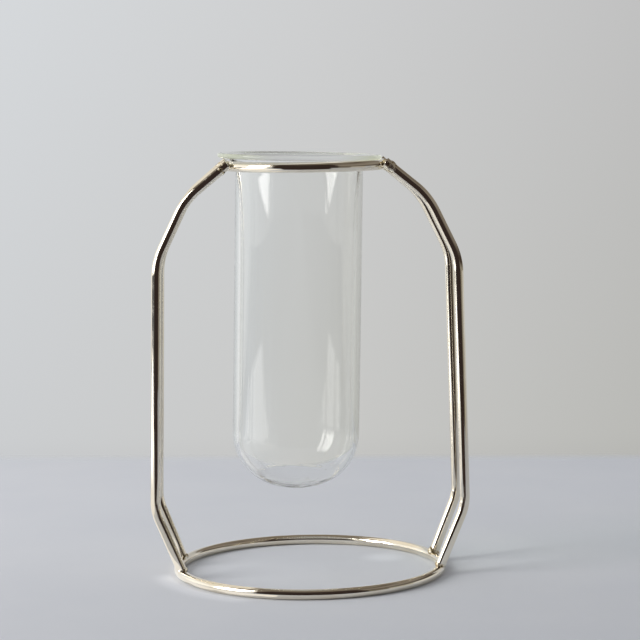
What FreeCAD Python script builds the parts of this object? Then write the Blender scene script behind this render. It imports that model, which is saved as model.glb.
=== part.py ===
import FreeCAD, Part
import math
import os

import Sketcher

# Test tube vase: a bent wire frame of two rings and four uprights, brazed together, with a glass
# tube that hangs in the top ring by its flared lip.
# The origin is on the table at the middle of the base ring, +Z is up, and the front faces -Y.
# All lengths are in millimetres, and the one angle is in degrees.

DIMENSIONS = [
    ("wire_radius", 2.0, "half the thickness of the wire of the rings and uprights"),
    ("base_ring_radius", 52.1, "middle of the base ring to the middle of its wire"),
    ("top_ring_height", 161.4, "table to the middle of the top ring's wire"),
    ("ring_clearance", 3.45, "gap from the tube's wall to the top ring, were the tube centred"),
    ("pair_half_gap", 12.9, "half the distance from a front upright to the rear one beside it"),
    ("foot_bend_reach", 10.2, "foot of an upright out to its lowest bend"),
    ("foot_bend_height", 27.6, "table to the lowest bend"),
    ("foot_bend_radius", 20.0, "bend radius at the middle of the wire, lowest bend"),
    ("shoulder_bend_reach", 30.9, "joint at the top ring out to the second bend"),
    ("shoulder_bend_drop", 36.3, "middle of the top ring's wire down to the second bend"),
    ("shoulder_bend_radius", 26.0, "bend radius, second bend"),
    ("neck_bend_reach", 19.4, "joint at the top ring out to the third bend"),
    ("neck_bend_drop", 12.5, "middle of the top ring's wire down to the third bend"),
    ("neck_bend_radius", 28.0, "bend radius, third bend"),
    ("foot_stop_share", 0.5, "end of the foot above the middle of the ring's wire, in wire radii"),
    ("tip_out_share", 1.4, "tip of an upright outside the top ring's wire, in wire radii"),
    ("tip_up_share", 0.55, "tip of an upright above the middle of the top ring, in wire radii"),
    ("tube_radius", 25.0, "outside of the glass tube"),
    ("glass_wall", 2.0, "thickness of the glass, in the wall and the lip alike"),
    ("tube_depth", 130.0, "underside of the lip to the outside of the bottom"),
    ("crown_radius", 33.3, "shallow dome in the middle of the bottom, outside"),
    ("knuckle_inset", 4.2, "axis of the tube out to the middle of the bottom's rounded edge"),
    ("flare_radius", 5.0, "curve from the wall out into the lip, outside"),
    ("lip_width", 7.2, "wall of the tube to the edge of the lip"),
    ("tube_shift", 2.25, "how far to the left of the ring's middle the tube hangs"),
    ("tube_lean", 1.45, "lean of the tube in degrees, with its bottom to the left"),
    ("top_bead_spread", 1.3, "braze at the top ring, past an upright's side along the ring"),
    ("top_bead_cover", 0.8, "thickness of the braze over the wire at the top ring"),
    ("top_bead_out_share", 1.7, "bead outside the middle of the top ring's wire, in wire radii"),
    ("top_bead_drop_share", 0.1, "bead below the middle of the top ring's wire, in wire radii"),
    ("foot_bead_spread", 1.4, "braze at the base ring, past an upright's side along the ring"),
    ("foot_bead_cover", 0.6, "thickness of the braze over the wire at the base ring"),
    ("foot_bead_rise_share", 0.6, "bead above the middle of the base ring's wire, in wire radii"),
]

SIDES = (("left", -1), ("right", 1))
DEPTHS = (("front", -1), ("rear", 1))
FULL_TURN = 360.0
HALF_TURN = 180.0

# Sizes that follow from the dimensions, each written once.
TOP_RING_RADIUS = "(dims.tube_radius + dims.ring_clearance + dims.wire_radius)"
FOOT_OUT = "sqrt(dims.base_ring_radius^2 - dims.pair_half_gap^2)"
JOINT_OUT = f"sqrt({TOP_RING_RADIUS}^2 - dims.pair_half_gap^2)"
TIP_OUT = f"({JOINT_OUT} + dims.tip_out_share * dims.wire_radius)"
TIP_HEIGHT = "(dims.top_ring_height + dims.tip_up_share * dims.wire_radius)"

LIP_EDGE_RADIUS = "(dims.glass_wall / 2)"
LIP_FLAT_RADIUS = f"(dims.tube_radius + dims.lip_width - {LIP_EDGE_RADIUS})"

# The tube is seated in its own leaning frame. Its rounded lip edge rests on the inner shoulder
# of the ring's wire at the right, or its flat underside on top of the wire if the lip is wide.
WIRE_ACROSS = f"(({TOP_RING_RADIUS} + dims.tube_shift) * cos(dims.tube_lean))"
WIRE_ALONG = f"(({TOP_RING_RADIUS} + dims.tube_shift) * sin(dims.tube_lean))"
WIRE_PAST_LIP = f"max(0; {WIRE_ACROSS} - {LIP_FLAT_RADIUS})"
TOUCH = f"sqrt((dims.wire_radius + {LIP_EDGE_RADIUS})^2 - {WIRE_PAST_LIP}^2)"
LIP_RISE = f"({WIRE_ALONG} - {LIP_EDGE_RADIUS} + {TOUCH})"


def fill_sheet(doc):
    sheet = doc.addObject("Spreadsheet::Sheet", "dims")
    for row, (alias, value, note) in enumerate(DIMENSIONS, start=1):
        sheet.set(f"A{row}", alias)
        sheet.set(f"B{row}", str(value))
        sheet.setAlias(f"B{row}", alias)
        sheet.set(f"C{row}", note)
    doc.recompute()


def amount(doc, expression):
    """Value of an expression of the sheet's dimensions."""
    return float(doc.getObject("dims").evalExpression(expression))


def new_body(doc, label):
    body = doc.addObject("PartDesign::Body", label)
    body.Label = label
    return body


def new_sketch(body, name):
    """Sketch on the body's own upright plane: X outwards, Y up."""
    planes = [item for item in body.Origin.OriginFeatures if item.Role == "XZ_Plane"]
    sketch = body.newObject("Sketcher::SketchObject", name)
    sketch.AttachmentSupport = [(planes[0], "")]
    sketch.MapMode = "FlatFace"
    return sketch


def size(sketch, name, expression, kind, *where):
    """Named dimension of a sketch, tied to the sheet."""
    value = amount(sketch.Document, expression)
    index = sketch.addConstraint(Sketcher.Constraint(kind, *where, value))
    sketch.renameConstraint(index, name)
    sketch.setExpression(f"Constraints.{name}", expression)


def join(sketch, kind, *where):
    sketch.addConstraint(Sketcher.Constraint(kind, *where))


def place_point(sketch, name, geometry, end, out, height):
    """Hold a point of a sketch at a distance out from the axis and at a height."""
    size(sketch, f"{name}_out", out, "DistanceX", -1, 1, geometry, end)
    size(sketch, f"{name}_height", height, "DistanceY", -1, 1, geometry, end)


def point(doc, out, height):
    return FreeCAD.Vector(amount(doc, out), amount(doc, height), 0)


def turn_round(body, feature_type, name, sketch):
    """Turn a sketch a full circle about its own upright axis."""
    feature = body.newObject(feature_type, name)
    feature.Profile = sketch
    feature.ReferenceAxis = (sketch, ["V_Axis"])
    feature.Angle = FULL_TURN
    return feature


def draw_wire_section(sketch, name, out, height):
    """Round section of a ring's wire."""
    doc = sketch.Document
    circle = Part.Circle(point(doc, out, height), FreeCAD.Vector(0, 0, 1), amount(doc, "dims.wire_radius"))
    section = sketch.addGeometry(circle)
    size(sketch, f"{name}_wire", "dims.wire_radius", "Radius", section)
    place_point(sketch, name, section, 3, out, height)


def make_ring(doc, label, radius, height):
    body = new_body(doc, label)
    sketch = new_sketch(body, f"{label}_section")
    draw_wire_section(sketch, "ring", radius, height)
    turn_round(body, "PartDesign::Revolution", f"{label}_turned", sketch)
    return body


def draw_upright_path(sketch):
    """Middle line of an upright: four straight runs and three bends."""
    doc = sketch.Document
    foot_height = "((1 + dims.foot_stop_share) * dims.wire_radius)"
    corners = [
        ("foot", FOOT_OUT, foot_height),
        ("foot_bend", f"({FOOT_OUT} + dims.foot_bend_reach)", "dims.foot_bend_height"),
        (
            "shoulder_bend",
            f"({JOINT_OUT} + dims.shoulder_bend_reach)",
            "(dims.top_ring_height - dims.shoulder_bend_drop)",
        ),
        (
            "neck_bend",
            f"({JOINT_OUT} + dims.neck_bend_reach)",
            "(dims.top_ring_height - dims.neck_bend_drop)",
        ),
        ("tip", TIP_OUT, TIP_HEIGHT),
    ]
    places = [point(doc, out, height) for _, out, height in corners]
    runs = []
    for start, end in zip(places, places[1:]):
        runs.append(sketch.addGeometry(Part.LineSegment(start, end)))
    for lower, upper in zip(runs, runs[1:]):
        join(sketch, "Coincident", lower, 2, upper, 1)
    for index, (name, out, height) in enumerate(corners[1:-1]):
        lower, upper = runs[index], runs[index + 1]
        near_lower = (places[index] + places[index + 1]) / 2
        near_upper = (places[index + 1] + places[index + 2]) / 2
        radius = amount(doc, f"dims.{name}_radius")
        sketch.fillet(lower, upper, near_lower, near_upper, radius, True, True)
        arc = sketch.GeometryCount - 2
        corner = sketch.GeometryCount - 1
        size(sketch, f"{name}_radius", f"dims.{name}_radius", "Radius", arc)
        place_point(sketch, name, corner, 1, out, height)
    place_point(sketch, "tip", runs[-1], 2, TIP_OUT, TIP_HEIGHT)
    size(sketch, "foot_height", foot_height, "DistanceY", -1, 1, runs[0], 1)
    wire_middle = sketch.addGeometry(Part.Point(point(doc, FOOT_OUT, "dims.wire_radius")), True)
    place_point(sketch, "wire_middle", wire_middle, 1, FOOT_OUT, "dims.wire_radius")
    join(sketch, "PointOnObject", wire_middle, 1, runs[0])


def make_bar(doc, label, side, depth):
    """Bent round bar of one upright, before its ends are hollowed."""
    body = new_body(doc, label)
    path = new_sketch(body, f"{label}_path")
    draw_upright_path(path)
    doc.recompute()
    section = body.newObject("Sketcher::SketchObject", f"{label}_section")
    section.AttachmentSupport = [(path, "Edge1")]
    section.MapMode = "NormalToEdge"
    middle = FreeCAD.Vector(0, 0, 0)
    circle = Part.Circle(middle, FreeCAD.Vector(0, 0, 1), amount(doc, "dims.wire_radius"))
    section.addGeometry(circle)
    join(section, "Coincident", 0, 3, -1, 1)
    size(section, "wire", "dims.wire_radius", "Radius", 0)
    pipe = body.newObject("PartDesign::AdditivePipe", f"{label}_pipe")
    pipe.Profile = section
    pipe.Spine = (path, [])
    if side < 0:
        body.Placement.Rotation = FreeCAD.Rotation(FreeCAD.Vector(0, 0, 1), HALF_TURN)
    body.setExpression("Placement.Base.y", f"{depth} * dims.pair_half_gap")
    return body


def cut_away(doc, label, base, tool):
    """What is left of one object after another is taken out of it."""
    cut = doc.addObject("Part::Cut", label)
    cut.Label = label
    cut.Base = base
    cut.Tool = tool
    return cut


def make_upright(doc, label, bar, base_ring, top_ring):
    """Bent wire whose foot and tip are hollowed to fit round the wire of the two rings."""
    footed = cut_away(doc, f"{label}_on_base_ring", bar, base_ring)
    upright = cut_away(doc, label, footed, top_ring)
    doc.recompute()
    if not upright.Shape.Volume < footed.Shape.Volume < bar.Shape.Volume:
        raise ValueError(f"{label}: a ring hollows out nothing")
    return upright


def draw_tube_profile(sketch):
    """Closed half section of the glass, with the underside of the lip at height zero."""
    doc = sketch.Document
    radius = amount(doc, "dims.tube_radius")
    wall = amount(doc, "dims.glass_wall")
    depth = amount(doc, "dims.tube_depth")
    crown = amount(doc, "dims.crown_radius")
    knuckle_out = amount(doc, "dims.knuckle_inset")
    flare = amount(doc, "dims.flare_radius")
    edge = amount(doc, LIP_EDGE_RADIUS)
    lip_flat = amount(doc, LIP_FLAT_RADIUS)
    inside = radius - wall
    knuckle = radius - knuckle_out

    crown_middle = FreeCAD.Vector(0, crown - depth, 0)
    knuckle_drop = math.sqrt((crown - knuckle) ** 2 - knuckle_out ** 2)
    knuckle_middle = crown_middle + FreeCAD.Vector(knuckle_out, -knuckle_drop, 0)
    meet = math.atan2(-knuckle_drop, knuckle_out)
    flare_middle = FreeCAD.Vector(radius + flare, -flare, 0)
    edge_middle = FreeCAD.Vector(lip_flat, edge, 0)

    def arc(middle, arc_radius, start, end):
        circle = Part.Circle(middle, FreeCAD.Vector(0, 0, 1), arc_radius)
        return sketch.addGeometry(Part.ArcOfCircle(circle, start, end))

    def line(start_out, start_height, end_out, end_height):
        start = FreeCAD.Vector(start_out, start_height, 0)
        return sketch.addGeometry(Part.LineSegment(start, FreeCAD.Vector(end_out, end_height, 0)))

    quarter = math.pi / 2
    axis = line(0, wall - depth, 0, -depth)
    crown_out = arc(crown_middle, crown, -quarter, meet)
    knuckle_out_arc = arc(knuckle_middle, knuckle, meet, 0)
    wall_out = line(radius, knuckle_middle.y, radius, -flare)
    flare_out = arc(flare_middle, flare, quarter, math.pi)
    underside = line(radius + flare, 0, lip_flat, 0)
    lip_edge = arc(edge_middle, edge, -quarter, quarter)
    lip_top = line(lip_flat, wall, radius + flare, wall)
    flare_in = arc(flare_middle, flare + wall, quarter, math.pi)
    wall_in = line(inside, -flare, inside, knuckle_middle.y)
    knuckle_in = arc(knuckle_middle, knuckle - wall, meet, 0)
    crown_in = arc(crown_middle, crown - wall, -quarter, meet)

    smooth_joints = [
        (crown_out, 2, knuckle_out_arc, 1),
        (knuckle_out_arc, 2, wall_out, 1),
        (wall_out, 2, flare_out, 2),
        (flare_out, 1, underside, 1),
        (underside, 2, lip_edge, 1),
        (lip_edge, 2, lip_top, 1),
        (lip_top, 2, flare_in, 1),
        (flare_in, 2, wall_in, 1),
        (wall_in, 2, knuckle_in, 2),
        (knuckle_in, 1, crown_in, 2),
    ]
    for where in smooth_joints:
        join(sketch, "Tangent", *where)
    join(sketch, "Coincident", crown_in, 1, axis, 1)
    join(sketch, "Coincident", axis, 2, crown_out, 1)
    join(sketch, "Coincident", crown_in, 3, crown_out, 3)
    join(sketch, "Coincident", knuckle_in, 3, knuckle_out_arc, 3)
    join(sketch, "Coincident", flare_in, 3, flare_out, 3)
    for upright_line in (wall_out, wall_in):
        join(sketch, "Vertical", upright_line)
    for level_line in (underside, lip_top):
        join(sketch, "Horizontal", level_line)
    join(sketch, "PointOnObject", underside, 1, -1)
    join(sketch, "PointOnObject", axis, 1, -2)
    join(sketch, "PointOnObject", axis, 2, -2)
    join(sketch, "PointOnObject", crown_out, 3, -2)

    size(sketch, "crown_radius", "dims.crown_radius", "Radius", crown_out)
    size(sketch, "knuckle_inset", "dims.knuckle_inset", "DistanceX", -1, 1, knuckle_out_arc, 3)
    size(sketch, "flare_radius", "dims.flare_radius", "Radius", flare_out)
    size(sketch, "lip_edge_radius", LIP_EDGE_RADIUS, "Radius", lip_edge)
    size(sketch, "tube_radius", "dims.tube_radius", "DistanceX", -1, 1, wall_out, 1)
    size(sketch, "lip_flat_radius", LIP_FLAT_RADIUS, "DistanceX", -1, 1, lip_edge, 3)
    size(sketch, "tube_depth", "dims.tube_depth", "DistanceY", axis, 2, -1, 1)


def make_glass_tube(doc):
    """Blown tube of even wall: domed bottom, straight wall, flare and flat lip with a round edge."""
    body = new_body(doc, "glass_tube")
    sketch = new_sketch(body, "tube_profile")
    draw_tube_profile(sketch)
    turn_round(body, "PartDesign::Revolution", "tube_turned", sketch)
    body.Placement.Rotation = FreeCAD.Rotation(FreeCAD.Vector(0, 1, 0), 0)
    body.setExpression("Placement.Rotation.Angle", "dims.tube_lean")
    body.setExpression("Placement.Base.x", f"{LIP_RISE} * sin(dims.tube_lean) - dims.tube_shift")
    body.setExpression("Placement.Base.z", f"dims.top_ring_height + {LIP_RISE} * cos(dims.tube_lean)")
    return body


def make_bead(doc, label, where, side, depth, ring, bar):
    """Bead of braze round a joint, fitted to the ring and the upright that it holds together."""
    if where == "top":
        out = f"({JOINT_OUT} + dims.top_bead_out_share * dims.wire_radius)"
        height = "(dims.top_ring_height - dims.top_bead_drop_share * dims.wire_radius)"
    else:
        out = FOOT_OUT
        height = "((1 + dims.foot_bead_rise_share) * dims.wire_radius)"
    turn = f"atan2({depth} * dims.pair_half_gap; {side} * {out})"
    blob = doc.addObject("Part::Ellipsoid", f"{label}_blob")
    blob.setExpression("Radius1", f"dims.wire_radius + dims.{where}_bead_cover")
    blob.setExpression("Radius2", f"dims.wire_radius + dims.{where}_bead_cover")
    blob.setExpression("Radius3", f"dims.wire_radius + dims.{where}_bead_spread")
    blob.setExpression("Placement.Base.x", f"{side} * {out}")
    blob.setExpression("Placement.Base.y", f"{depth} * dims.pair_half_gap")
    blob.setExpression("Placement.Base.z", height)
    blob.setExpression("Placement.Rotation.Angle", turn)
    on_ring = cut_away(doc, f"{label}_on_ring", blob, ring)
    return cut_away(doc, label, on_ring, bar)


def check(doc, pieces):
    for item in doc.Objects:
        if "Invalid" in item.State or "Error" in item.State:
            raise ValueError(f"{item.Label} failed: {item.State}")
    for piece in pieces:
        shape = piece.Shape
        if shape.isNull() or not shape.isValid() or len(shape.Solids) != 1:
            raise ValueError(f"{piece.Label} is not one valid solid")
        print(f"{piece.Label}: {shape.Volume:.1f} cubic millimetres")


def main():
    doc = FreeCAD.newDocument("test_tube_vase")
    fill_sheet(doc)
    base_ring = make_ring(doc, "base_ring", "dims.base_ring_radius", "dims.wire_radius")
    top_ring = make_ring(doc, "top_ring", TOP_RING_RADIUS, "dims.top_ring_height")
    pieces = [base_ring, top_ring]
    for side_name, side in SIDES:
        for depth_name, depth in DEPTHS:
            corner = f"{depth_name}_{side_name}"
            bar = make_bar(doc, f"{corner}_bar", side, depth)
            pieces.append(make_upright(doc, f"{corner}_upright", bar, base_ring, top_ring))
            for where, ring in (("foot", base_ring), ("top", top_ring)):
                label = f"{corner}_{where}_braze"
                pieces.append(make_bead(doc, label, where, side, depth, ring, bar))
    pieces.append(make_glass_tube(doc))
    doc.recompute()
    check(doc, pieces)
    os.makedirs("parts", exist_ok=True)
    for piece in pieces:
        piece.Shape.exportStep(f"parts/{piece.Label}.step")


main()
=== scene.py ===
import math

import bpy
from mathutils import Matrix, Vector, noise


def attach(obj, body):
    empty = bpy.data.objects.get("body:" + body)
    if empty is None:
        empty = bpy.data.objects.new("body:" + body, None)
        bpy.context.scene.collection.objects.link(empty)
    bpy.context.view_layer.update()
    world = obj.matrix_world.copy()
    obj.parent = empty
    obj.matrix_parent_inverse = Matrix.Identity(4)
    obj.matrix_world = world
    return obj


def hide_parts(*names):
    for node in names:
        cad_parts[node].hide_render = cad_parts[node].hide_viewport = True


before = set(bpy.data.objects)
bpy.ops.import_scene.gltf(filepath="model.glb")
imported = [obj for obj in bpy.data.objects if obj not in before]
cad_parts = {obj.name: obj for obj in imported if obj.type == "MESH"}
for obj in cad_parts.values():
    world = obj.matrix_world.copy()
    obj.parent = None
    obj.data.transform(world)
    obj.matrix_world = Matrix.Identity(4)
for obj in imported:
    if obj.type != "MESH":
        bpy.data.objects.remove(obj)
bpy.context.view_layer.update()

# All lengths are in metres and all turns in degrees, unless the name says otherwise.
# X points to the right of the photograph, Y away from its camera and Z up from the table.

# Camera, as it stands in the photograph
CAMERA_PLACE = Vector((-0.0362, -0.8826, 0.1914))
CAMERA_YAW = 2.681
CAMERA_PITCH = 5.894
CAMERA_ROLL = -0.700
CAMERA_CLIP = 0.01
LENS_MM = 126.745
SENSOR_MM = 36.0

# Table. Its back edge runs slightly aslant and looks soft.
TABLE_BACK = 0.2774
TABLE_EDGE_SLOPE = -0.103
TABLE_EDGE_BLUR = 0.012
TABLE_REACH = 3.0

# Painted light on the table: pools of light that the wires throw back on it, painted into its colour.
# A strip lies beside the ring's front left, and is given by distance and direction from the ring's
# middle.
# The round spots have a middle, the two distances between which they fade out, and a gain.
STRIP_START = (0.0540, 0.0565)
STRIP_END = (0.0560, 0.0668)
STRIP_TURN = 213
STRIP_CLOSENESS = (0.80, 0.93)
STRIP_GAIN = 1.17
PAINTED_LIGHT_SPOTS = (
    ((0.031, 0.022, 0), 0.002, 0.012, 1.14),
    ((-0.020, 0.001, 0), 0.005, 0.040, 1.06),
)

# Window to the left. Its sill runs from the back corner to the front corner.
WINDOW_BACK = Vector((-1.199, -0.042, 0.150))
WINDOW_FRONT = Vector((-0.708, -0.432, 0.114))
WINDOW_HEIGHT = 0.72
WINDOW_RADIANCE = 6.8
WINDOW_COLOUR = (1.0, 0.985, 0.96)

# Painted reflection: a glowing sheet just above the table, seen only in what mirrors it, stands in for
# the part of the table that the window lights strongly. It is brightest on the window's side, and it
# goes on as a strip along the ring's front left.
GLOW_CORNERS = (
    (-1.05, -0.38),
    (-0.58, -0.30),
    (-0.25, -0.26),
    (-0.12, -0.16),
    (-0.12, -0.010),
    (-0.075, -0.014),
    (-0.062, -0.029),
    (-0.048, -0.048),
    (-0.029, -0.062),
    (-0.018, -0.066),
    (-0.0155, -0.0524),
    (-0.0235, -0.0494),
    (-0.0387, -0.0387),
    (-0.0496, -0.0233),
    (-0.0547, 0.0),
    (-0.058, 0.035),
    (-0.12, 0.12),
    (-0.80, 0.13),
    (-0.95, -0.12),
)
GLOW_HEIGHT = 0.0004
GLOW_COLOUR = (1.0, 0.99, 0.98, 1)
GLOW_FAR_OUT = -0.42
GLOW_NEAR_OUT = -0.28
GLOW_FAR_STRENGTH = 2.4
GLOW_NEAR_STRENGTH = 0.95

# Painted reflections: glowing sides of the room that only the wire's mirror shows. Each one has a name,
# the azimuths that it goes from and to, the heights that it goes from and to, and the screen colours of
# its foot and its top.
# Azimuth 0 is towards the camera and 90 is to its right.
ROOM_DISTANCE = 0.45
ROOM_STEPS = 12
ROOM_SIDES = (
    ("dark_room", -47, 44, 0.0, 0.75, (50, 41, 39), (56, 46, 42)),
    ("dim_side", 44, 62, 0.0, 0.10, (120, 114, 102), (116, 110, 98)),
    ("pale_side", 62, 88, 0.0, 0.10, (180, 176, 166), (170, 166, 156)),
    ("blend_side", 44, 130, 0.10, 0.155, (150, 146, 136), (60, 50, 44)),
    ("upper_side", 44, 130, 0.155, 0.32, (60, 50, 44), (136, 129, 120)),
    ("top_side", 44, 130, 0.32, 0.75, (136, 129, 120), (88, 79, 70)),
)

# Level panels of painted reflection, glowing and seen only in what mirrors them. Each one has a name,
# corners, a height and a screen colour.
CEILING_HEIGHT = 0.95
LEVEL_PANELS = (
    (
        "ceiling",
        ((-1.5, -1.5), (1.5, -1.5), (1.5, 1.5), (-0.05, 1.5), (-0.36, 0.12), (-1.5, 0.02)),
        CEILING_HEIGHT,
        (122, 114, 104),
    ),
    (
        "bright_ceiling",
        ((-1.5, 0.02), (-0.36, 0.12), (-0.05, 1.5), (-1.5, 1.5)),
        CEILING_HEIGHT,
        (246, 240, 228),
    ),
    (
        "near_floor",
        ((-0.11, -0.16), (-0.33, -0.46), (0.32, -0.46), (0.11, -0.16)),
        0.0005,
        (52, 42, 40),
    ),
)

# Glass tube. The seat is where its axis meets the underside of its lip. The other heights are
# measured along the axis from there.
TUBE_SEAT = Vector((-0.0021885, 0, 0.1638305))
TUBE_LEAN = 1.45
TUBE_RADIUS = 0.025
TUBE_WALL = 0.002
TUBE_DEPTH = 0.130
CROWN_RADIUS = 0.0333
KNUCKLE_INSET = 0.0042
KNUCKLE_WALL = 0.0012
KNUCKLE_EDGE = 0.0168
CROWN_WALL = 0.0012
FLARE_RADIUS = 0.005
LIP_RADIUS = 0.0322
TUBE_SIDES = 256
CURVE_STEPS = 28
WALL_STEPS = 40

# Faint waves on the inside of the tube's bottom
RIPPLE = 0.00012
RIPPLES_PER_METRE = 260
RIPPLE_TOP = 0.007
RIPPLE_START = 0.004

# Edge of the lip, from where it starts to look cloudy to where it does so fully
RIM_START = LIP_RADIUS - 0.0014
RIM_FULL = LIP_RADIUS - 0.0002
RIM_CLEARNESS = 0.6

# Wire frame. The bends are corners of the wire's middle line, as a distance out and a height,
# each with the radius of its bend.
WIRE_RADIUS = 0.001988
HALF_GAP = 0.0129
FOOT_END = (0.050478, 0.003)
TIP_END = (0.03038, 0.1625)
BENDS = (
    (0.06068, 0.0276, 0.020),
    (0.05848, 0.1251, 0.026),
    (0.04698, 0.1489, 0.028),
)
REAR_PAIR_INSET = 0.0006
WIRE_SIDES = 48
BEND_STEPS = 24
RUN_STEPS = 30

# Braze at the tips and the feet of the uprights
TOP_BRAZE_OUT = 0.0327
TOP_BRAZE_HEIGHT = 0.1606
TOP_BRAZE_HALF_LENGTH = 0.0040
TOP_BRAZE_HALF_WIDTH = 0.00216
TOP_BRAZE_LUMPS = 0.13
LEFT_TOP_SHARE = 0.94
FOOT_BRAZE_OUT = 0.0507
FOOT_BRAZE_HEIGHT = 0.0038
FOOT_BRAZE_HALF_LENGTH = 0.0019
FOOT_BRAZE_HALF_WIDTH = 0.00208
FOOT_BRAZE_LUMPS = 0.16
REAR_RIGHT_FOOT_SHARE = 1.15
BRAZE_LUMPS_PER_METRE = 700
BRAZE_ROWS = 28
BRAZE_SIDES = 40


def srgb(red, green, blue):
    """Linear colour of a colour that is given in screen values from 0 to 255."""
    def linear(value):
        value /= 255
        return value / 12.92 if value <= 0.04045 else ((value + 0.055) / 1.055) ** 2.4
    return linear(red), linear(green), linear(blue), 1.0


# Node helpers

def new_material(name):
    material = bpy.data.materials.new(name)
    material.use_nodes = True
    nodes = material.node_tree.nodes
    nodes.clear()
    return material, nodes, material.node_tree.links


def add_node(nodes, kind, **inputs):
    """New node with some of its plain inputs set. An underscore stands for a space in their names."""
    made = nodes.new(kind)
    for name, value in inputs.items():
        made.inputs[name.replace("_", " ")].default_value = value
    return made


def add_place(nodes, links):
    """Place on the object, whole and split into X, Y and Z."""
    place = nodes.new("ShaderNodeTexCoord")
    apart = nodes.new("ShaderNodeSeparateXYZ")
    links.new(place.outputs["Object"], apart.inputs["Vector"])
    return place, apart


def add_noise(nodes, links, place, scale, detail):
    texture = add_node(nodes, "ShaderNodeTexNoise", Scale=scale, Detail=detail)
    links.new(place.outputs["Object"], texture.inputs["Vector"])
    return texture.outputs["Fac"]


def add_ramp(nodes, links, factor, *stops):
    """Colour ramp through stops of a position and a colour."""
    ramp = nodes.new("ShaderNodeValToRGB")
    elements = ramp.color_ramp.elements
    while len(elements) < len(stops):
        elements.new(0.5)
    for element, (position, colour) in zip(elements, stops):
        element.position = position
        element.color = (*colour[:3], 1)
    links.new(factor, ramp.inputs["Fac"])
    return ramp.outputs["Color"]


def add_range(nodes, links, factor, from_low, from_high, to_low, to_high):
    """Smooth step of a value from one range into another."""
    made = add_node(
        nodes, "ShaderNodeMapRange",
        From_Min=from_low, From_Max=from_high, To_Min=to_low, To_Max=to_high,
    )
    made.interpolation_type = "SMOOTHSTEP"
    links.new(factor, made.inputs["Value"])
    return made.outputs["Result"]


def add_straight_range(nodes, links, factor, from_low, from_high):
    """Even step of a value from a range into 0 to 1."""
    made = add_node(nodes, "ShaderNodeMapRange", From_Min=from_low, From_Max=from_high)
    links.new(factor, made.inputs["Value"])
    return made.outputs["Result"]


def add_product(nodes, links, *factors):
    """Product of several values."""
    result = factors[0]
    for factor in factors[1:]:
        product = nodes.new("ShaderNodeMath")
        product.operation = "MULTIPLY"
        links.new(result, product.inputs[0])
        links.new(factor, product.inputs[1])
        result = product.outputs["Value"]
    return result


def add_shader_mix(nodes, links, share, first, second, output):
    """Two shaders mixed by a share, put on the surface."""
    mix = nodes.new("ShaderNodeMixShader")
    links.new(share, mix.inputs["Fac"])
    links.new(first, mix.inputs[1])
    links.new(second, mix.inputs[2])
    links.new(mix.outputs["Shader"], output.inputs["Surface"])


def add_bump(nodes, links, height, shader, strength, distance):
    bump = add_node(nodes, "ShaderNodeBump", Strength=strength, Distance=distance)
    links.new(height, bump.inputs["Height"])
    links.new(bump.outputs["Normal"], shader.inputs["Normal"])


# Materials of the vase

def make_wire_material():
    """Bright plated wire of a warm silver, with faint smudges and a slightly uneven polish."""
    material, nodes, links = new_material("plated_wire")
    output = nodes.new("ShaderNodeOutputMaterial")
    shader = add_node(nodes, "ShaderNodeBsdfPrincipled", Metallic=1.0)
    place = nodes.new("ShaderNodeTexCoord")
    tone = add_noise(nodes, links, place, 90, 3)
    tint = add_ramp(nodes, links, tone, (0.3, (0.84, 0.77, 0.64)), (0.7, (0.90, 0.85, 0.75)))
    links.new(tint, shader.inputs["Base Color"])
    smudge = add_noise(nodes, links, place, 200, 2)
    links.new(add_range(nodes, links, smudge, 0.35, 0.75, 0.06, 0.14), shader.inputs["Roughness"])
    waves = add_noise(nodes, links, place, 55, 1)
    add_bump(nodes, links, waves, shader, 0.25, 0.0002)
    links.new(shader.outputs["BSDF"], output.inputs["Surface"])
    return material


def make_braze_material():
    """Braze of a warm silver that goes over into brown, with dark specks of burnt flux."""
    material, nodes, links = new_material("braze")
    output = nodes.new("ShaderNodeOutputMaterial")
    shader = add_node(nodes, "ShaderNodeBsdfPrincipled", Metallic=1.0)
    place = nodes.new("ShaderNodeTexCoord")
    tone = add_noise(nodes, links, place, 700, 4)
    tint = add_ramp(
        nodes, links, tone,
        (0.34, (0.03, 0.022, 0.015)), (0.42, (0.55, 0.44, 0.27)), (0.52, (0.93, 0.88, 0.75)),
    )
    links.new(tint, shader.inputs["Base Color"])
    links.new(add_range(nodes, links, tone, 0.35, 0.65, 0.55, 0.30), shader.inputs["Roughness"])
    grain = add_noise(nodes, links, place, 1500, 3)
    add_bump(nodes, links, grain, shader, 0.4, 0.0002)
    links.new(shader.outputs["BSDF"], output.inputs["Surface"])
    return material


def add_rim_share(nodes, links, apart):
    """Share that is 1 at the edge of the lip and 0 further in, by the distance from the lip's middle."""
    middle = add_node(nodes, "ShaderNodeCombineXYZ", X=TUBE_SEAT.x, Y=TUBE_SEAT.y)
    flat = nodes.new("ShaderNodeCombineXYZ")
    links.new(apart.outputs["X"], flat.inputs["X"])
    links.new(apart.outputs["Y"], flat.inputs["Y"])
    gap = nodes.new("ShaderNodeVectorMath")
    gap.operation = "DISTANCE"
    links.new(flat.outputs["Vector"], gap.inputs[0])
    links.new(middle.outputs["Vector"], gap.inputs[1])
    return add_range(nodes, links, gap.outputs["Value"], RIM_START, RIM_FULL, 0, 1)


def add_rim_green(nodes, links, apart):
    """The edge looks greener towards its ends, where more of the glass lies behind itself."""
    sideways = nodes.new("ShaderNodeMath")
    sideways.operation = "ABSOLUTE"
    links.new(apart.outputs["X"], sideways.inputs[0])
    depth_seen = add_range(nodes, links, sideways.outputs["Value"], 0.010, 0.029, 0, 1)
    return add_ramp(nodes, links, depth_seen, (0.0, (0.90, 0.91, 0.90)), (1.0, (0.78, 0.82, 0.66)))


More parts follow.
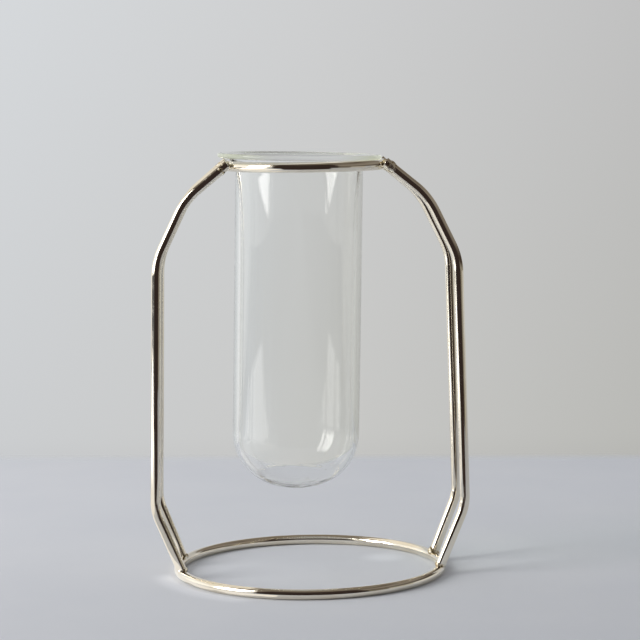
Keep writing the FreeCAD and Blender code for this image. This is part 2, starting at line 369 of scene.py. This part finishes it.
def make_glass_material():
    """Clear glass with a faint green depth and a paler, greener edge at its lip, whose faint glow is
    painted light.
    """
    material, nodes, links = new_material("clear_glass")
    output = nodes.new("ShaderNodeOutputMaterial")
    glass = add_node(nodes, "ShaderNodeBsdfPrincipled", IOR=1.47, Specular_Tint=(0.6, 0.6, 0.6, 1))
    place, apart = add_place(nodes, links)
    rim = add_rim_share(nodes, links, apart)
    green = add_rim_green(nodes, links, apart)
    tint = nodes.new("ShaderNodeMix")
    tint.data_type = "RGBA"
    tint.inputs[6].default_value = (1, 1, 1, 1)
    links.new(rim, tint.inputs["Factor"])
    links.new(green, tint.inputs[7])
    links.new(tint.outputs[2], glass.inputs["Base Color"])

    # Light that is caught inside the edge of the lip is lost in rendering. A cloudy and faintly
    # luminous edge makes up for it, most of all on the side away from the window. The back of the
    # lip has none, because it looks darker than the wall.
    clearness = add_range(nodes, links, rim, 0, 1, 1.0, RIM_CLEARNESS)
    links.new(clearness, glass.inputs["Transmission Weight"])
    away = add_range(nodes, links, apart.outputs["X"], -0.024, 0.014, 0.20, 0.45)
    front = add_range(nodes, links, apart.outputs["Y"], -0.005, 0.020, 1.0, 0.0)
    links.new(add_product(nodes, links, rim, away, front), glass.inputs["Emission Strength"])
    links.new(green, glass.inputs["Emission Color"])

    smudge = add_noise(nodes, links, place, 120, 4)
    links.new(add_range(nodes, links, smudge, 0.6, 0.9, 0.0, 0.03), glass.inputs["Roughness"])
    waves = add_noise(nodes, links, place, 28, 1)
    add_bump(nodes, links, waves, glass, 0.06, 0.001)

    # The glass lets light through to the table with hardly any shadow.
    clear = add_node(nodes, "ShaderNodeBsdfTransparent", Color=(0.95, 0.97, 0.95, 1))
    ray = nodes.new("ShaderNodeLightPath")
    shadow = ray.outputs["Is Shadow Ray"]
    add_shader_mix(nodes, links, shadow, glass.outputs["BSDF"], clear.outputs["BSDF"], output)
    depth = add_node(nodes, "ShaderNodeVolumeAbsorption", Density=7.0, Color=(0.3, 0.57, 0.0, 1))
    links.new(depth.outputs["Volume"], output.inputs["Volume"])
    return material


# Pieces of the vase

def add_object(name, verts, faces, material):
    """Smooth mesh object in the scene."""
    mesh = bpy.data.meshes.new(name)
    mesh.from_pydata(verts, [], faces)
    mesh.polygons.foreach_set("use_smooth", [True] * len(mesh.polygons))
    mesh.materials.append(material)
    made = bpy.data.objects.new(name, mesh)
    bpy.context.scene.collection.objects.link(made)
    return made


def arc_points(middle_out, middle_height, radius, start, end, steps):
    """Points and outward directions along an arc between turns in radians. The first one is left out."""
    points = []
    for step in range(1, steps + 1):
        turn = start + (end - start) * step / steps
        out = math.cos(turn)
        up = math.sin(turn)
        points.append((middle_out + radius * out, middle_height + radius * up, out, up))
    return points


def tube_outside():
    """Outside of the tube below its flare, from the top down, with the directions out of the glass."""
    crown_middle = CROWN_RADIUS - TUBE_DEPTH
    knuckle = TUBE_RADIUS - KNUCKLE_INSET
    knuckle_drop = math.sqrt((CROWN_RADIUS - knuckle) ** 2 - KNUCKLE_INSET ** 2)
    knuckle_middle = crown_middle - knuckle_drop
    meet = math.atan2(-knuckle_drop, KNUCKLE_INSET)
    wall_length = -FLARE_RADIUS - knuckle_middle
    points = [
        (TUBE_RADIUS, -FLARE_RADIUS - wall_length * step / WALL_STEPS, 1, 0)
        for step in range(WALL_STEPS + 1)
    ]
    points += arc_points(KNUCKLE_INSET, knuckle_middle, knuckle, 0, meet, 3 * CURVE_STEPS)
    points += arc_points(0, crown_middle, CROWN_RADIUS, meet, -math.pi / 2, CURVE_STEPS)
    return points


def wall_at(out):
    """Thickness of the glass at a distance from the axis. It gets thinner round the bottom's edge."""
    if out > KNUCKLE_EDGE:
        share = (out - KNUCKLE_EDGE) / (TUBE_RADIUS - KNUCKLE_EDGE)
        bend = math.acos(min(share, 1)) / (math.pi / 2)
        return TUBE_WALL + (KNUCKLE_WALL - TUBE_WALL) * bend
    return KNUCKLE_WALL + (CROWN_WALL - KNUCKLE_WALL) * (1 - out / KNUCKLE_EDGE)


def tube_profile():
    """Outline of the glass: up its outside, round its lip and down its inside, without the two poles."""
    outside = tube_outside()
    edge = TUBE_WALL / 2
    flare_out = TUBE_RADIUS + FLARE_RADIUS
    lip_flat = LIP_RADIUS - edge
    quarter = math.pi / 2
    outer_flare = arc_points(flare_out, -FLARE_RADIUS, FLARE_RADIUS, math.pi, quarter, CURVE_STEPS)
    lip_edge = arc_points(lip_flat, edge, edge, -quarter, quarter, CURVE_STEPS)
    inner_radius = FLARE_RADIUS + TUBE_WALL
    inner_flare = arc_points(flare_out, -FLARE_RADIUS, inner_radius, quarter, math.pi, CURVE_STEPS)
    profile = [point[:2] for point in reversed(outside[:-1])]
    profile += [point[:2] for point in outer_flare + lip_edge]
    profile.append((flare_out, TUBE_WALL))
    profile += [point[:2] for point in inner_flare]
    for out, height, right, up in outside[1:-1]:
        wall = wall_at(out)
        inner_out = out - wall * right
        if inner_out > 0:
            profile.append((inner_out, height - wall * up))
    return profile


def ripple_at(out, height, angle):
    """Lift of a point on the tube's inner bottom. All other points have none."""
    floor = CROWN_WALL - TUBE_DEPTH + 0.0001
    if height <= floor or height >= RIPPLE_TOP - TUBE_DEPTH or out >= KNUCKLE_EDGE:
        return 0
    spot = Vector((out * math.cos(angle), out * math.sin(angle), 0)) * RIPPLES_PER_METRE
    return RIPPLE * noise.noise(spot) * min(1, out / RIPPLE_START)


def make_tube(material):
    """Glass tube as one turned skin."""
    profile = tube_profile()
    turn = Matrix.Translation(TUBE_SEAT) @ Matrix.Rotation(math.radians(TUBE_LEAN), 4, "Y")
    verts = [turn @ Vector((0, 0, -TUBE_DEPTH))]
    for out, height in profile:
        for side in range(TUBE_SIDES):
            angle = math.tau * side / TUBE_SIDES
            lifted = height + ripple_at(out, height, angle)
            verts.append(turn @ Vector((out * math.cos(angle), out * math.sin(angle), lifted)))
    verts.append(turn @ Vector((0, 0, CROWN_WALL - TUBE_DEPTH)))

    faces = []
    last = 1 + (len(profile) - 1) * TUBE_SIDES
    for side in range(TUBE_SIDES):
        after = (side + 1) % TUBE_SIDES
        faces.append((0, 1 + after, 1 + side))
        for row in range(len(profile) - 1):
            low = 1 + row * TUBE_SIDES
            high = low + TUBE_SIDES
            faces.append((low + side, low + after, high + after, high + side))
        faces.append((last + side, last + after, len(verts) - 1))
    tube = add_object("glass_tube_skin", verts, faces, material)
    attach(tube, "tube")
    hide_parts("glass_tube")


def run_points(start, end):
    """Points along a straight run. The first one is left out."""
    return [start.lerp(end, step / RUN_STEPS) for step in range(1, RUN_STEPS + 1)]


def upright_line(inset):
    """Middle line of an upright as points of a distance out and a height, from foot to tip."""
    corners = [Vector(FOOT_END)]
    corners += [Vector((out - inset, height)) for out, height, radius in BENDS]
    corners.append(Vector(TIP_END))
    points = [corners[0]]
    for index, (out, height, radius) in enumerate(BENDS, 1):
        before = (corners[index - 1] - corners[index]).normalized()
        after = (corners[index + 1] - corners[index]).normalized()
        half_turn = before.angle(after) / 2
        reach = radius / math.tan(half_turn)
        start = corners[index] + before * reach
        middle = corners[index] + (before + after).normalized() * (radius / math.sin(half_turn))
        points += run_points(points[-1], start)
        first = start - middle
        sweep = math.pi - 2 * half_turn
        way = 1 if first.x * after.y - first.y * after.x > 0 else -1
        for step in range(1, BEND_STEPS + 1):
            turn = way * sweep * step / BEND_STEPS
            points.append(middle + Vector((
                first.x * math.cos(turn) - first.y * math.sin(turn),
                first.x * math.sin(turn) + first.y * math.cos(turn),
            )))
    points += run_points(points[-1], corners[-1])
    return points


def make_upright(node, side, depth, inset, material):
    """Smooth skin of round wire for one upright. Its ends lie inside the wire of the rings."""
    line = upright_line(inset)
    verts = []
    for index, point in enumerate(line):
        along = line[min(index + 1, len(line) - 1)] - line[max(index - 1, 0)]
        along.normalize()
        across = Vector((along.y, -along.x))
        for turn_step in range(WIRE_SIDES):
            turn = math.tau * turn_step / WIRE_SIDES
            reach = WIRE_RADIUS * math.cos(turn)
            verts.append((
                side * (point.x + across.x * reach),
                depth * HALF_GAP + WIRE_RADIUS * math.sin(turn) * side,
                point.y + across.y * reach,
            ))
    faces = [tuple(range(WIRE_SIDES))]
    for row in range(len(line) - 1):
        low = row * WIRE_SIDES
        for turn_step in range(WIRE_SIDES):
            after = (turn_step + 1) % WIRE_SIDES
            faces.append((
                low + turn_step, low + WIRE_SIDES + turn_step,
                low + WIRE_SIDES + after, low + after,
            ))
    last = (len(line) - 1) * WIRE_SIDES
    faces.append(tuple(last + turn_step for turn_step in reversed(range(WIRE_SIDES))))
    skin = add_object(node + "_skin", verts, faces, material)
    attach(skin, "frame")
    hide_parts(node)


def make_uprights(material):
    """Four uprights. The rear pair is a little narrower than the front pair."""
    for depth_name, depth in (("front", -1), ("rear", 1)):
        inset = REAR_PAIR_INSET if depth_name == "rear" else 0
        for side_name, side in (("left", -1), ("right", 1)):
            make_upright(f"{depth_name}_{side_name}_upright", side, depth, inset, material)


def make_braze(node, middle, along, half_length, half_width, lumps, seed, material):
    """Uneven lump of braze round the end of an upright. Its long axis points along the upright."""
    long_axis = Vector(along).normalized()
    side_axis = Vector((0, 1, 0))
    third_axis = long_axis.cross(side_axis)
    verts = []
    for row in range(BRAZE_ROWS + 1):
        lean = math.pi * row / BRAZE_ROWS
        for side in range(BRAZE_SIDES if 0 < row < BRAZE_ROWS else 1):
            angle = math.tau * side / BRAZE_SIDES
            way = (
                long_axis * math.cos(lean) * half_length
                + side_axis * math.sin(lean) * math.cos(angle) * half_width
                + third_axis * math.sin(lean) * math.sin(angle) * half_width
            )
            spot = way * BRAZE_LUMPS_PER_METRE + Vector((seed * 7.3, seed * 3.1, seed * 5.7))
            swell = 1 + lumps * (noise.noise(spot) + 0.5 * noise.noise(spot * 2.6))
            verts.append(Vector(middle) + way * swell)
    faces = []
    last = 1 + (BRAZE_ROWS - 2) * BRAZE_SIDES
    for side in range(BRAZE_SIDES):
        after = (side + 1) % BRAZE_SIDES
        faces.append((0, 1 + side, 1 + after))
        for row in range(BRAZE_ROWS - 2):
            low = 1 + row * BRAZE_SIDES
            high = low + BRAZE_SIDES
            faces.append((low + side, high + side, high + after, low + after))
        faces.append((last + side, len(verts) - 1, last + after))
    lump = add_object(node + "_lump", verts, faces, material)
    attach(lump, "frame")
    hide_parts(node)


def make_brazes(material):
    """Braze at both ends of each upright. The lumps at the left tips are slighter."""
    tip_run = Vector(TIP_END) - Vector(BENDS[-1][:2])
    foot_run = Vector(FOOT_END) - Vector(BENDS[0][:2])
    seed = 0
    for depth_name, depth in (("front", -1), ("rear", 1)):
        for side_name, side in (("left", -1), ("right", 1)):
            seed += 1
            where = f"{depth_name}_{side_name}"
            full = LEFT_TOP_SHARE if side_name == "left" else 1.0
            make_braze(
                where + "_top_braze",
                (side * TOP_BRAZE_OUT, depth * HALF_GAP, TOP_BRAZE_HEIGHT),
                (side * tip_run.x, 0, tip_run.y),
                TOP_BRAZE_HALF_LENGTH * full, TOP_BRAZE_HALF_WIDTH * full, TOP_BRAZE_LUMPS * full,
                seed, material,
            )
            full = REAR_RIGHT_FOOT_SHARE if where == "rear_right" else 1.0
            make_braze(
                where + "_foot_braze",
                (side * FOOT_BRAZE_OUT, depth * HALF_GAP, FOOT_BRAZE_HEIGHT),
                (side * foot_run.x, 0, foot_run.y),
                FOOT_BRAZE_HALF_LENGTH * full, FOOT_BRAZE_HALF_WIDTH * full, FOOT_BRAZE_LUMPS,
                seed + 4, material,
            )


# Stage

def add_painted_thrown_light(nodes, links, place):
    """How much lighter the table's paint is made where the wires throw light on it: painted light."""
    out = nodes.new("ShaderNodeVectorMath")
    out.operation = "LENGTH"
    links.new(place.outputs["Object"], out.inputs[0])
    way = nodes.new("ShaderNodeVectorMath")
    way.operation = "NORMALIZE"
    links.new(place.outputs["Object"], way.inputs[0])
    turn = math.radians(STRIP_TURN)
    side = nodes.new("ShaderNodeVectorMath")
    side.operation = "DOT_PRODUCT"
    links.new(way.outputs["Vector"], side.inputs[0])
    side.inputs[1].default_value = (math.cos(turn), math.sin(turn), 0)
    strip = add_product(
        nodes, links,
        add_range(nodes, links, out.outputs["Value"], *STRIP_START, 0, 1),
        add_range(nodes, links, out.outputs["Value"], *STRIP_END, 1, 0),
        add_range(nodes, links, side.outputs["Value"], *STRIP_CLOSENESS, 0, 1),
    )
    gains = [add_range(nodes, links, strip, 0, 1, 1, STRIP_GAIN)]
    for middle, fade_from, fade_to, gain in PAINTED_LIGHT_SPOTS:
        gap = nodes.new("ShaderNodeVectorMath")
        gap.operation = "DISTANCE"
        links.new(place.outputs["Object"], gap.inputs[0])
        gap.inputs[1].default_value = middle
        gains.append(add_range(nodes, links, gap.outputs["Value"], fade_from, fade_to, gain, 1))
    return add_product(nodes, links, *gains)


def make_table_material():
    """Pale painted table. It fades out at its back edge, where the wall behind it shows."""
    material, nodes, links = new_material("painted_table")
    output = nodes.new("ShaderNodeOutputMaterial")
    shader = add_node(nodes, "ShaderNodeBsdfPrincipled", Roughness=0.7, Specular_IOR_Level=0.0)
    place, apart = add_place(nodes, links)
    mottle = add_noise(nodes, links, place, 14, 5)
    paint = add_ramp(nodes, links, mottle, (0.3, (0.745, 0.764, 0.82)), (0.7, (0.777, 0.793, 0.841)))

    # Painted shade: the paint is a little darker near the camera, and much darker under the window.
    near = add_range(nodes, links, apart.outputs["Y"], -0.35, 0.30, 0.825, 1.0)
    beside = add_range(nodes, links, apart.outputs["X"], -0.75, -0.28, 0.35, 1.0)
    shade = nodes.new("ShaderNodeVectorMath")
    shade.operation = "SCALE"
    links.new(paint, shade.inputs[0])
    # Painted light: the paint is made lighter where the wires throw light on the table.
    thrown = add_painted_thrown_light(nodes, links, place)
    links.new(add_product(nodes, links, near, beside, thrown), shade.inputs["Scale"])
    links.new(shade.outputs["Vector"], shader.inputs["Base Color"])

    slope = nodes.new("ShaderNodeMath")
    slope.operation = "MULTIPLY_ADD"
    slope.inputs[1].default_value = -TABLE_EDGE_SLOPE
    links.new(apart.outputs["X"], slope.inputs[0])
    links.new(apart.outputs["Y"], slope.inputs[2])
    fade = add_range(
        nodes, links, slope.outputs["Value"],
        TABLE_BACK - TABLE_EDGE_BLUR, TABLE_BACK + TABLE_EDGE_BLUR, 0, 1,
    )
    clear = nodes.new("ShaderNodeBsdfTransparent")
    add_shader_mix(nodes, links, fade, shader.outputs["BSDF"], clear.outputs["BSDF"], output)
    return material


def make_table():
    back = TABLE_BACK + TABLE_EDGE_BLUR
    drift = TABLE_EDGE_SLOPE * TABLE_REACH
    corners = [
        (-TABLE_REACH, -TABLE_REACH, 0),
        (TABLE_REACH, -TABLE_REACH, 0),
        (TABLE_REACH, back + drift, 0),
        (-TABLE_REACH, back - drift, 0),
    ]
    table = add_object("table", corners, [(0, 1, 2, 3)], make_table_material())


def show_in_reflections_only(piece):
    piece.visible_camera = False
    piece.visible_diffuse = False
    piece.visible_shadow = False
    piece.visible_transmission = False
    piece.visible_volume_scatter = False


def make_room_side(name, from_azimuth, to_azimuth, low, high, foot_colour, top_colour):
    """Curved glowing panel that only reflections show: a painted reflection. Its colour goes smoothly
    from its foot to its top.
    """
    material, nodes, links = new_material(name)
    output = nodes.new("ShaderNodeOutputMaterial")
    light = nodes.new("ShaderNodeEmission")
    place, apart = add_place(nodes, links)
    share = add_range(nodes, links, apart.outputs["Z"], low, high, 0, 1)
    tone = add_ramp(nodes, links, share, (0.0, srgb(*foot_colour)), (1.0, srgb(*top_colour)))
    links.new(tone, light.inputs["Color"])
    links.new(light.outputs["Emission"], output.inputs["Surface"])
    verts = []
    for step in range(ROOM_STEPS + 1):
        turn = math.radians(from_azimuth + (to_azimuth - from_azimuth) * step / ROOM_STEPS)
        x = ROOM_DISTANCE * math.sin(turn)
        y = -ROOM_DISTANCE * math.cos(turn)
        verts += [(x, y, low), (x, y, high)]
    faces = [(2 * step, 2 * step + 2, 2 * step + 3, 2 * step + 1) for step in range(ROOM_STEPS)]
    side = add_object(name, verts, faces, material)
    show_in_reflections_only(side)


def make_level_panel(name, corners, height, colour):
    """Level glowing panel that only reflections show: a painted reflection."""
    material, nodes, links = new_material(name)
    output = nodes.new("ShaderNodeOutputMaterial")
    light = add_node(nodes, "ShaderNodeEmission", Color=srgb(*colour))
    links.new(light.outputs["Emission"], output.inputs["Surface"])
    verts = [(x, y, height) for x, y in corners]
    panel = add_object(name, verts, [tuple(range(len(verts)))], material)
    show_in_reflections_only(panel)


def make_room():
    """Painted reflections of what the wire mirrors: a dark room behind the camera, its right side,
    ceiling and floor.
    """
    for side in ROOM_SIDES:
        make_room_side(*side)
    for panel in LEVEL_PANELS:
        make_level_panel(*panel)


def make_table_glow():
    """Glowing sheet that paints the reflection of the strongly lit part of the table. Only what mirrors
    it shows it, also from inside the glass.
    """
    material, nodes, links = new_material("table_glow")
    output = nodes.new("ShaderNodeOutputMaterial")
    light = add_node(nodes, "ShaderNodeEmission", Color=GLOW_COLOUR)
    place, apart = add_place(nodes, links)
    strength = add_range(
        nodes, links, apart.outputs["X"],
        GLOW_FAR_OUT, GLOW_NEAR_OUT, GLOW_FAR_STRENGTH, GLOW_NEAR_STRENGTH,
    )
    links.new(strength, light.inputs["Strength"])
    ray = nodes.new("ShaderNodeLightPath")
    mirrored = add_straight_range(nodes, links, ray.outputs["Glossy Depth"], 0, 1)
    clear = nodes.new("ShaderNodeBsdfTransparent")
    add_shader_mix(nodes, links, mirrored, clear.outputs["BSDF"], light.outputs["Emission"], output)
    verts = [(x, y, GLOW_HEIGHT) for x, y in GLOW_CORNERS]
    glow = add_object("table_glow", verts, [tuple(range(len(verts)))], material)
    show_in_reflections_only(glow)
    glow.visible_transmission = True


def make_window():
    """Tall window to the left, a little in front of the vase."""
    lamp = bpy.data.lights.new("window", "AREA")
    lamp.shape = "RECTANGLE"
    along = WINDOW_FRONT - WINDOW_BACK
    lamp.size = along.length
    lamp.size_y = WINDOW_HEIGHT
    lamp.energy = WINDOW_RADIANCE * math.pi * lamp.size * lamp.size_y
    lamp.color = WINDOW_COLOUR
    window = bpy.data.objects.new("window", lamp)
    bpy.context.scene.collection.objects.link(window)
    along.normalize()
    outwards = Vector((along.y, -along.x, 0)).normalized()
    up = outwards.cross(along)
    middle = (WINDOW_BACK + WINDOW_FRONT + up * WINDOW_HEIGHT) / 2
    turn = Matrix((along, up, outwards)).transposed().to_4x4()
    window.matrix_world = Matrix.Translation(middle) @ turn
    window.visible_camera = False


def add_wall_colour(nodes, links, apart):
    """Colour of the wall behind the vase, which gets darker to the right and downwards."""
    across = add_straight_range(nodes, links, apart.outputs["X"], -0.10, 0.19)
    upper = add_ramp(
        nodes, links, across,
        (0.0, srgb(214, 217, 220)), (0.5, srgb(206, 207, 208)), (1.0, srgb(193, 193, 193)),
    )
    lower = add_ramp(
        nodes, links, across,
        (0.0, srgb(203, 205, 207)), (0.5, srgb(200, 200, 198)), (1.0, srgb(185, 185, 181)),
    )
    high = add_straight_range(nodes, links, apart.outputs["Z"], -0.165, 0.04)
    wall = nodes.new("ShaderNodeMix")
    wall.data_type = "RGBA"
    links.new(high, wall.inputs["Factor"])
    links.new(lower, wall.inputs[6])
    links.new(upper, wall.inputs[7])
    return wall.outputs[2]


def make_world():
    """Pale surroundings, given by the direction of the view. Its parts go from -1 to 1."""
    world = bpy.data.worlds.new("studio")
    world.use_nodes = True
    nodes = world.node_tree.nodes
    links = world.node_tree.links
    nodes.clear()
    output = nodes.new("ShaderNodeOutputWorld")
    background = nodes.new("ShaderNodeBackground")
    place = nodes.new("ShaderNodeTexCoord")
    apart = nodes.new("ShaderNodeSeparateXYZ")
    links.new(place.outputs["Generated"], apart.inputs["Vector"])

    # The ceiling and the room behind the camera are dimmer than the wall.
    ceiling = add_range(nodes, links, apart.outputs["Z"], 0.25, 0.7, 1.0, 0.72)
    front = add_range(nodes, links, apart.outputs["Y"], -0.8, 0.3, 0.62, 1.0)
    # The sides are brighter, the one with the window most of all. The wall's foot is in shade.
    left = add_range(nodes, links, apart.outputs["X"], -0.9, -0.35, 1.75, 1.0)
    right = add_range(nodes, links, apart.outputs["X"], 0.5, 0.95, 1.0, 1.3)
    foot = add_range(nodes, links, apart.outputs["Z"], -0.168, -0.150, 0.955, 1.0)
    strength = add_product(nodes, links, ceiling, front, left, right, foot)

    # The side with the window is a little warmer too.
    away = add_range(nodes, links, apart.outputs["X"], -0.9, -0.35, 0, 1)
    warmth = add_ramp(nodes, links, away, (0.0, (1.0, 0.965, 0.925)), (1.0, (1, 1, 1)))
    colour = nodes.new("ShaderNodeVectorMath")
    colour.operation = "MULTIPLY"
    links.new(add_wall_colour(nodes, links, apart), colour.inputs[0])
    links.new(warmth, colour.inputs[1])
    links.new(colour.outputs["Vector"], background.inputs["Color"])
    links.new(strength, background.inputs["Strength"])
    links.new(background.outputs["Background"], output.inputs["Surface"])
    bpy.context.scene.world = world


def make_camera():
    yaw, pitch, roll = (math.radians(turn) for turn in (CAMERA_YAW, CAMERA_PITCH, CAMERA_ROLL))
    forward = Vector((
        math.sin(yaw) * math.cos(pitch),
        math.cos(yaw) * math.cos(pitch),
        -math.sin(pitch),
    ))
    level = Vector((math.cos(yaw), -math.sin(yaw), 0))
    upright = level.cross(forward)
    right = math.cos(roll) * level + math.sin(roll) * upright
    up = math.cos(roll) * upright - math.sin(roll) * level
    lens = bpy.data.cameras.new("camera")
    lens.lens = LENS_MM
    lens.sensor_width = SENSOR_MM
    lens.clip_start = CAMERA_CLIP
    camera = bpy.data.objects.new("camera", lens)
    bpy.context.scene.collection.objects.link(camera)
    turn = Matrix((right, up, -forward)).transposed().to_4x4()
    camera.matrix_world = Matrix.Translation(CAMERA_PLACE) @ turn
    bpy.context.scene.camera = camera


# The two rings keep the frame's own meshes. All other pieces are covered by the skins made here.
wire = make_wire_material()
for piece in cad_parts.values():
    piece.data.materials.clear()
    piece.data.materials.append(wire)
make_tube(make_glass_material())
make_uprights(wire)
make_brazes(make_braze_material())
make_table()
make_room()
make_table_glow()
make_window()
make_world()
make_camera()
bpy.context.scene.view_settings.view_transform = "Standard"

bpy.context.view_layer.update()
